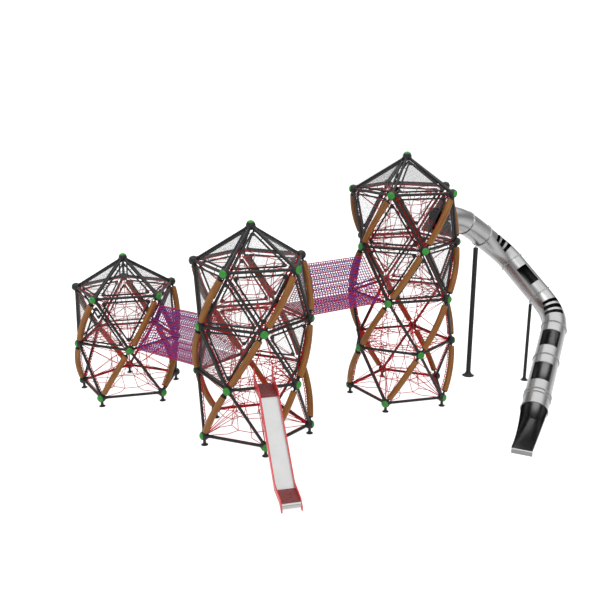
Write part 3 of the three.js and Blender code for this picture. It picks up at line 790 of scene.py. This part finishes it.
def tunnel_outline(corners, outward):
    """Points evenly round a tunnel's end, a triangle whose floor lies level with the ring tube."""
    *floor, top = inset(corners, TUNNEL_SIDE_INSET)
    stretch = 1 + TUNNEL_SIDE_INSET / (3 * (IN_RADIUS - TUNNEL_SIDE_INSET))
    lowered = [top + (corner - top) * stretch for corner in floor]
    outline = fillet([p + outward * TUNNEL_STANDOFF for p in (*lowered, top)], TUNNEL_CORNER, steps=8)
    closed = np.vstack([outline, outline[:1]])
    lengths = np.concatenate([[0], np.cumsum(np.linalg.norm(np.diff(closed, axis=0), axis=1))])
    targets = np.linspace(0, lengths[-1], TUNNEL_LINES, endpoint=False)
    return np.stack([np.interp(targets, lengths, closed[:, axis]) for axis in range(3)], axis=1)


def build_tunnel(label, first, second):
    name_a, k_a, azimuth_a = first
    name_b, k_b, azimuth_b = second
    face_a = tier_faces(name_a, k_a)[azimuth_a]
    face_b = tier_faces(name_b, k_b)[azimuth_b]
    mirrored = [face_b[1], face_b[0], face_b[2]]
    start = tunnel_outline(face_a, azimuth_vector(azimuth_a))
    end = tunnel_outline(mirrored, azimuth_vector(azimuth_b))
    end = end[match_start(start, end)]
    hoops = int(np.linalg.norm(end - start, axis=1).mean() / TUNNEL_PITCH)
    red, blue, knots = Shape(), Shape(), Shape()
    for a, b in zip(start, end):
        red.tube([a, b], TUNNEL_ROPE_R, sides=6)
    for n in range(hoops + 1):
        loop = start + (end - start) * n / hoops
        edge_hoop = n in (0, hoops)
        shape = red if edge_hoop else blue
        shape.tube(loop, TUNNEL_ROPE_R * (1.5 if edge_hoop else 1.15), sides=6, looped=True)
        for point in loop:
            knots.lathe(point, UP, KNOT, sides=6)
    for outline, corners in ((start, face_a), (end, face_b)):
        for point in outline[::2]:
            red.tube([point, nearest_edge_point(point, corners)], TUNNEL_ROPE_R * 0.8, sides=5)
    node = f"{label}_net_tunnel"
    red.piece(f"{node}_red_ropes", RED_ROPE, "tunnel_rope", node)
    blue.piece(f"{node}_blue_ropes", BLUE_ROPE, "blue_rope", node)
    knots.piece(f"{node}_knots", BLUE_ROPE, "blue_rope")


def match_start(start, end):
    """The order of end's points, forwards or backwards, that lies closest to start's."""
    count = len(start)
    orders = [np.roll(np.arange(count)[::way], shift) for way in (1, -1) for shift in range(count)]
    return min(orders, key=lambda order: np.linalg.norm(end[order] - start, axis=1).sum())


def nearest_edge_point(point, corners):
    found = []
    for a, b in zip(corners, [*corners[1:], corners[0]]):
        share = np.clip((point - a) @ (b - a) / ((b - a) @ (b - a)), 0.12, 0.88)
        found.append(a + (b - a) * share)
    nearest = min(found, key=lambda p: np.linalg.norm(p - point))
    return towards(nearest, point, TUBE_R * 0.8)


# ---- Straight slide ----
CHUTE_SHEET = 0.006
CHUTE_BEND = 0.16  # from a corner of the chute's line to where its curve starts
# How far the corners of the chute's line stand in front of the middle tower's axis, and how high.
BROW_REACH = 2.13
TOE_REACH, TOE_Z = 4.085, 0.245
LIP_REACH, LIP_Z = 4.79, 0.215
LIP_ROLL = 0.06
CHEEK_RISE = 0.13  # above the chute
CHEEK_DROP = 0.07  # below it
CHEEK_EDGE = 0.004


def build_straight_slide():
    low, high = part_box("straight_slide_chute")
    platform, centre_y = high.z, AXES["centre"][1]
    brow, toe, lip = (centre_y - reach for reach in (BROW_REACH, TOE_REACH, LIP_REACH))
    corners = [(high.y, platform), (brow, platform), (toe, TOE_Z), (lip, LIP_Z)]
    nose = [(lip - LIP_ROLL * math.sin(a), LIP_Z - LIP_ROLL * (1 - math.cos(a)))
            for a in np.linspace(0.2, math.pi / 2, 6)]
    line = [*bend_line(corners, CHUTE_BEND), *nose, (lip - LIP_ROLL, LIP_Z - 2 * LIP_ROLL)]
    under = offset_line(line, CHUTE_SHEET)
    # The line's points 1 to 7 round the brow, 8 to 14 round the toe, and the lip starts at 15.
    lengths = {
        # the platform and run-out take a dark red of painted shade and painted reflection of the cheeks
        "platform": (RED_SHADE_AND_REFLECTION, "red_panel", 0, 5),
        "slope": (CHUTE_STEEL, "chute_steel", 5, 12),
        "run_out": (RED_SHADE_AND_REFLECTION, "red_panel", 12, 15),
        "lip": (CHUTE_STEEL, "chute_steel", 15, len(line) - 1),
    }
    for label, (material, slot, first, last) in lengths.items():
        part = slice(first, last + 1)
        chute = Shape()
        outline = [(low.x, y, z) for y, z in [*line[part], *reversed(under[part])]]
        chute.prism(outline[::-1], (high.x - low.x, 0, 0))
        chute.piece(f"straight_slide_{label}", material, slot, "straight_slide_chute", crease=30)
    for side in ("left", "right"):
        build_cheek(f"straight_slide_{side}_cheek", platform, brow, toe)


def bend_line(points, radius, steps=6):
    """A [y, z] line whose inner corners are eased by curves."""
    eased = [points[0]]
    for before, corner, after in zip(points, points[1:], points[2:]):
        corner = np.array(corner)
        a = corner + unit(np.array(before) - corner) * radius
        b = corner + unit(np.array(after) - corner) * radius
        for t in np.linspace(0, 1, steps + 1):
            eased.append(tuple((1 - t) ** 2 * a + 2 * t * (1 - t) * corner + t * t * b))
    eased.append(points[-1])
    return eased


def offset_line(points, distance):
    """The same line moved down by distance, square to itself."""
    points = np.array(points)
    steps = np.gradient(points, axis=0)
    normals = np.stack([-steps[:, 1], steps[:, 0]], axis=1)
    normals /= np.linalg.norm(normals, axis=1)[:, None]
    return [tuple(p) for p in points + normals * distance]


def build_cheek(node, platform, brow, toe):
    low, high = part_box(node)
    end, back, fin_top = low.y, high.y, high.z
    base = platform - 0.01
    face = AXES["centre"][1] - RADIUS * math.cos(math.pi / 5)
    heel = face - TUBE_R - 0.06
    outline = [
        (back, base), (back, fin_top - 0.06), (back - 0.04, fin_top),
        (face - 0.055, fin_top), (face - 0.135, platform + 0.3),
        (brow, platform + CHEEK_RISE), (toe + 0.04, TOE_Z + CHEEK_RISE),
        (end + 0.16, LIP_Z + 0.06), (end, LIP_Z - 0.09), (end, 0.0),
        (end + 0.07, 0.0), (end + 0.25, LIP_Z - CHEEK_DROP),
        (toe + 0.06, TOE_Z - CHEEK_DROP), (brow + 0.06, base - CHEEK_DROP),
        (heel, base - CHEEK_DROP), (heel, base),
    ]
    rounded = fillet(np.insert(outline, 0, 0.0, axis=1), 0.012, steps=3)
    inwards = np.sign(rounded.mean(axis=0) - rounded) * [0, 1, 1]
    eased = rounded + inwards * CHEEK_EDGE / 2
    layers = [(low.x, eased), (low.x + CHEEK_EDGE, rounded), (high.x - CHEEK_EDGE, rounded), (high.x, eased)]
    shape = Shape()
    shape.loft([layer + [x, 0, 0] for x, layer in layers])
    shape.piece(f"{node}_panel", RED_PANEL, "red_panel", node, crease=30)


# ---- Tubular slide ----
BORE_R = 0.400
SHELL_R = 0.405
FLANGE_R = 0.434
FLANGE_THICKNESS = 0.014
FLANGE_BOLTS = 16
MOUTH_AZIMUTH = 18
MOUTH_OVERHANG = 0.11
MOUTH_RISE = 0.03
MOUTH_LEAD = 0.39
MOUTH_PLATE_INSET = 0.06 * RADIUS
EXIT_HALF_WIDTH = 0.300
EXIT_LIP_DEPTH = 0.05
SLIDE_SIDES = 72
SKIN_STEP = 0.025
COLLAR_BAND = 0.14
# gap kept for the dark sheet of painted shade on the exit trough's inner face
SHADE_SHEET_GAP = 0.0015
WINDOW_HALF_LENGTH = 0.37
SLOT_HALF_WIDTH = 0.080
SLOT_SPACING = 0.26
# Name, length along the middle, turn over it, slope at its end in degrees, and its cut-outs:
# their kind, and the middle and half width of their arc round the tube, in degrees.
STAGES = [
    ("mouth", 1.365, 0, 28, None),
    ("upper", 0.985, 0, 35, None),
    ("first_bend", 1.535, -73, 42.3, ("slots", 118, 44)),
    ("middle", 1.515, 0, 42.3, ("window", 130, 28)),
    ("second_bend", 1.575, -74.6, 28.2, ("slots", 98, 50)),
    ("window_length", 1.525, 0, 28.2, ("window", 91, 46)),
    ("lower", 1.510, 0, 28.2, ("window", 91, 46)),
    ("collar", 0.610, 0, 28.2, None),
    ("exit", 1.958, 0, 0, None),
]


def bearing_vector(heading, slope):
    level = azimuth_vector(heading) * math.cos(math.radians(slope))
    return level - UP * math.sin(math.radians(slope))


def level_side(axis):
    """A level direction square to an axis, and the direction square to both."""
    side = unit(np.cross(UP, axis))
    return side, np.cross(axis, side)


class Stage:
    """A length of the slide's middle line, whose heading and slope change evenly after its lead."""

    def __init__(self, start, entry, exit_, length, lead):
        self.start, self.entry, self.exit = start, entry, exit_
        self.length, self.lead = length, lead

    def bearing(self, s):
        share = max(0.0, (s - self.lead) / (self.length - self.lead))
        heading, slope = (a + (b - a) * share for a, b in zip(self.entry, self.exit))
        return bearing_vector(heading, slope)

    def walk(self, s):
        steps = 24
        turns = sum(self.bearing((n + 0.5) / steps * s) for n in range(steps))
        return self.start + turns * s / steps

    def beside(self, s, x, y):
        side, over = level_side(self.bearing(s))
        return self.walk(s) + side * x + over * y

    def circle(self, s, radius):
        return self.walk(s) + spokes(*level_side(self.bearing(s)), SLIDE_SIDES) * radius


def slide_stages():
    heading = azimuth_vector(MOUTH_AZIMUTH)
    face = tier_faces("right", TIERS["right"] - 1)[MOUTH_AZIMUTH]
    start = sum(face) / 3 + UP * MOUTH_RISE - heading * MOUTH_OVERHANG
    entry = (MOUTH_AZIMUTH, 0)
    stages = []
    for name, length, turn, slope, _ in STAGES:
        exit_ = (entry[0] + turn, slope)
        stage = Stage(start, entry, exit_, length, MOUTH_LEAD if name == "mouth" else 0.0)
        stages.append(stage)
        start = stage.walk(length)
        entry = exit_
    return stages


def open_cells(cut_out, length):
    """Says which cells of the tube's skin are cut out, by distance along it and angle round it."""
    if cut_out is None:
        return lambda s, angle: False
    kind, middle, half = cut_out
    spots = [0.0] if kind == "window" else [-SLOT_SPACING, 0.0, SLOT_SPACING]
    reach = WINDOW_HALF_LENGTH if kind == "window" else SLOT_HALF_WIDTH

    def is_open(s, angle):
        near = any(abs(s - length / 2 - spot) < reach for spot in spots)
        return near and abs(angle - middle) < half

    return is_open


def add_skin(shape, stage, cut_out):
    """The tube's sheet, with real thickness at every edge, its cut-outs among them."""
    rows = 1 + int(round(stage.length / SKIN_STEP))
    distances = np.linspace(0.0, stage.length, rows)
    is_open = open_cells(cut_out, stage.length)
    outer, inner = ([stage.circle(s, radius) for s in distances] for radius in (SHELL_R, BORE_R))

    def is_solid(r, c):
        if not 0 <= r < rows - 1:
            return False
        middle = (distances[r] + distances[r + 1]) / 2
        return not is_open(middle, (c % SLIDE_SIDES + 0.5) * 360 / SLIDE_SIDES)

    # LINING marks the inner skin, which the tube steel paints darker as painted shade
    shape.sheet(outer, inner, distances, 2 * math.pi * SHELL_R / SLIDE_SIDES, is_solid, LINING)


def add_flange(shape, bolts, stage, s, inward):
    """A pressed ring with rounded edges; bolts stand on its far side."""
    face = stage.walk(s)
    axis = stage.bearing(s) * inward
    t = FLANGE_THICKNESS
    profile = [(SHELL_R - 0.002, 0.0), (FLANGE_R - 0.003, 0.0), (FLANGE_R, 0.003),
               (FLANGE_R, t - 0.003), (FLANGE_R - 0.003, t), (SHELL_R + 0.012, t),
               (SHELL_R + 0.004, t + 0.010), (SHELL_R - 0.002, t + 0.012)]
    circle = spokes(*level_side(axis), SLIDE_SIDES)
    rings = [face + axis * h + circle * r for r, h in profile]
    shape.loft(rings, looped=True, along=np.arange(len(rings) + 1) * 0.01, round_size=2 * math.pi * FLANGE_R)
    for spoke in spokes(*level_side(axis), FLANGE_BOLTS * 2)[1::2]:
        hex_bolt(bolts, face + axis * t + spoke * (SHELL_R + FLANGE_R) / 2, axis)


def add_trough(shape, stage, inner_gap, outer_gap):
    """The open exit between two offsets from its surface: half a tube that narrows to a flat lip."""
    stations, arc = 28, 24

    def bulge(value, power):
        return math.copysign(abs(value) ** power, value)

    def grid(gap):
        rows = []
        for n in range(stations + 1):
            share = n / stations
            half = EXIT_HALF_WIDTH + (BORE_R - EXIT_HALF_WIDTH) * (1 - share) ** 2 + gap
            depth = EXIT_LIP_DEPTH + (BORE_R - EXIT_LIP_DEPTH) * (1 - share) ** 1.6 + gap
            rim, power = 0.04 - 0.02 * share, 1.0 - 0.45 * share
            angles = [math.pi * (1 + m / arc) for m in range(arc + 1)]
            curve = [(half * bulge(math.cos(a), power), depth * bulge(math.sin(a), power)) for a in angles]
            section = [(-half, rim), *curve, (half, rim)]
            rows.append([stage.beside(share * stage.length, x, y) for x, y in section])
        return rows

    def is_solid(r, c):
        return 0 <= r < stations and 0 <= c < arc + 2

    distances = np.linspace(0.0, stage.length, stations + 1)
    shape.sheet(grid(outer_gap), grid(inner_gap), distances, 0.05, is_solid)


def build_exit_pieces(stage):
    """A dark sheet of painted shade over the trough's inner face, the rolled bead along its lip, and the
    upright plate below.
    """
    shade_sheet = Shape()
    add_trough(shade_sheet, stage, 0.0, SHADE_SHEET_GAP * 0.8)
    shade_sheet.piece("tube_slide_exit_shade_sheet", SHADED_TROUGH_STEEL, "tube_steel")
    end = stage.walk(stage.length)
    ahead = azimuth_vector(stage.exit[0])
    side = unit(np.cross(UP, ahead))
    top = end[2] - EXIT_LIP_DEPTH * 0.6
    left, right = [(end + side * x) * [1, 1, 0] for x in (-EXIT_HALF_WIDTH, EXIT_HALF_WIDTH)]
    lip = Shape()
    outline = [left, right, right + UP * top, left + UP * top]
    lip.prism([p - ahead * 0.015 for p in outline], ahead * 0.03)
    lip.piece("tube_slide_exit_lip", LIP_STEEL, "tube_steel")
    bead = Shape()
    bead.tube([p + UP * top + ahead * 0.006 for p in (left, right)], 0.02, sides=14)
    bead.piece("tube_slide_exit_bead", BOLT, "tube_steel")


# Node, the length above it, the post's radius, and its base's radius and height.
POSTS = [
    ("tall_slide_post", 2, 0.085, 0.220, 0.12),
    ("short_slide_post", 4, 0.057, 0.135, 0.08),
]


def build_post(node, stage, radius, base, base_height):
    seat = stage.beside(0, 0, -FLANGE_R)
    ground = seat * [1, 1, 0]
    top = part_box(node)[1].z
    post = Shape()
    profile = [(base, 0.0), (base, 0.012), (base * 0.93, 0.02), (base * 0.62, base_height * 0.5),
               (radius * 1.25, base_height), (radius, base_height * 1.25),
               (radius, top - 0.06), (radius, top - 0.05), (radius * 0.8, top - 0.04)]
    post.lathe(ground, UP, profile)
    post.piece(f"{node}_tube", STEEL, "dark_steel", node)
    clamp = Shape()
    clamp.lathe(ground, UP, [(radius * 0.62, top - 0.05), (radius * 0.62, top)], sides=20)
    clamp.piece(f"{node}_clamp", TUBE_STEEL, "tube_steel")
    bolts = Shape()
    for n in range(6):
        hex_bolt(bolts, ground + azimuth_vector(60 * n) * base * 0.8 + UP * 0.02, UP, across=0.03)
    bolts.piece(f"{node}_anchor_bolts", BOLT, "tube_steel")


def build_mouth_plate(stage):
    face = tier_faces("right", TIERS["right"] - 1)[MOUTH_AZIMUTH]
    corners = inset(face, MOUTH_PLATE_INSET)
    across, upward, normal = face_frame(corners)
    outline = fillet(corners, 0.05, steps=8)
    heading = stage.bearing(0)
    rise = UP * MOUTH_RISE
    centre = sum(corners) / 3 + rise - heading * (rise @ normal) / (heading @ normal)
    circle = spokes(across, upward, 96)
    rim = np.array([ray_to_outline(centre, spoke, outline) for spoke in circle])
    hole = centre + circle * (SHELL_R + 0.009)
    lift = normal * 0.006
    shape = Shape()
    shape.loft([hole + lift, rim + lift, rim - lift, hole - lift], looped=True)
    shape.piece("tube_slide_mouth_panel", PLATE, "mouth_plate", "tube_slide_mouth_plate", crease=30)
    tabs = Shape()
    add_tabs(tabs, corners, face, centre, tuck=0.03)
    tabs.piece("tube_slide_mouth_tabs", STEEL, "dark_steel")


def ray_to_outline(centre, direction, outline):
    """Where a ray from the centre meets a closed outline in its plane."""
    for a, b in zip(outline, np.roll(outline, -1, axis=0)):
        edge = b - a
        matrix = np.stack([direction, -edge], axis=1)
        (t, u), *_ = np.linalg.lstsq(matrix, a - centre, rcond=None)
        if -1e-6 <= u <= 1 + 1e-6 and t > 0:
            return centre + direction * t
    return centre + direction


def build_tube_slide():
    stages = slide_stages()
    bolts = Shape()
    build_mouth_plate(stages[0])
    for n, ((name, *_, cut_out), stage) in enumerate(zip(STAGES, stages)):
        node = f"tube_slide_{name}"
        shape = Shape()
        if name == "exit":
            # the trough's inner skin stands off by the gap that the sheet of painted shade fills
            add_trough(shape, stage, SHADE_SHEET_GAP, SHELL_R - BORE_R)
            build_exit_pieces(stage)
        else:
            add_skin(shape, stage, cut_out)
            if n:
                add_flange(shape, bolts, stage, 0.0, 1)
            add_flange(shape, bolts, stage, stage.length, -1)
            if name == "collar":
                add_flange(shape, bolts, stage, COLLAR_BAND, 1)
        shape.piece(f"{node}_sheet", TUBE_STEEL, "tube_steel", node, crease=40)
    bolts.piece("tube_slide_flange_bolts", BOLT, "tube_steel")
    for node, under, radius, base, base_height in POSTS:
        build_post(node, stages[under], radius, base, base_height)


# ---- Stage and light ----
FLOOR_HALF = 60.0
FLOOR_GLOW = 0.93
SURROUND_STRENGTH = 1.9
# Height up the surround, from 0 at eye level and below to 1 overhead, and its brightness there.
SURROUND = [(0.0, 0.54), (0.15, 0.54), (0.22, 0.22), (0.42, 0.22), (0.56, 0.52), (0.76, 1.0), (1.0, 1.0)]
SUN_STRENGTH = 0.45
SUN_SPREAD = math.radians(25)
SUN_TILT = (math.radians(35), 0.0, math.radians(-32))


def build_stage():
    mesh = bpy.data.meshes.new("floor")
    corners = [(-1, -1, 0), (1, -1, 0), (1, 1, 0), (-1, 1, 0)]
    mesh.from_pydata([(x * FLOOR_HALF, y * FLOOR_HALF, z) for x, y, z in corners], [], [(0, 1, 2, 3)])
    nodes = Nodes("pale_floor")
    cloud = nodes.noise(nodes.place((1, 1, 1)), 0.4)
    greys = nodes.ramp(cloud, [(0.3, (0.29, 0.29, 0.29)), (0.7, (0.31, 0.31, 0.31))])
    nodes.link(greys, nodes.shader, "Base Color")
    nodes.set(Roughness=0.9, Emission_Strength=FLOOR_GLOW)
    mesh.materials.append(nodes.material)
    floor = bpy.data.objects.new("floor", mesh)
    bpy.context.scene.collection.objects.link(floor)


def build_light():
    """A white surround, darkest a little above eye level so that metal has contrast, and a weak sun."""
    bpy.context.scene.view_settings.view_transform = "Standard"
    world = bpy.data.worlds.new("studio")
    bpy.context.scene.world = world
    world.use_nodes = True
    nodes, links = world.node_tree.nodes, world.node_tree.links
    coords = nodes.new("ShaderNodeTexCoord")
    split = nodes.new("ShaderNodeSeparateXYZ")
    ramp = nodes.new("ShaderNodeValToRGB")
    fill_ramp(ramp, [(height, (level, level, level)) for height, level in SURROUND])
    links.new(coords.outputs["Generated"], split.inputs["Vector"])
    links.new(split.outputs["Z"], ramp.inputs["Fac"])
    links.new(ramp.outputs["Color"], nodes["Background"].inputs["Color"])
    nodes["Background"].inputs["Strength"].default_value = SURROUND_STRENGTH
    data = bpy.data.lights.new("sun", "SUN")
    data.energy = SUN_STRENGTH
    data.angle = SUN_SPREAD
    sun = bpy.data.objects.new("sun", data)
    sun.rotation_euler = SUN_TILT
    bpy.context.scene.collection.objects.link(sun)


for tower_name in TIERS:
    build_frames(tower_name)
    build_runs(tower_name)
    build_net(tower_name)
build_panels()
build_tunnel("left", ("left", 1, 306), ("centre", 1, 126))
build_tunnel("right", ("centre", 2, 18), ("right", 2, 198))
build_straight_slide()
build_tube_slide()
build_stage()
build_light()
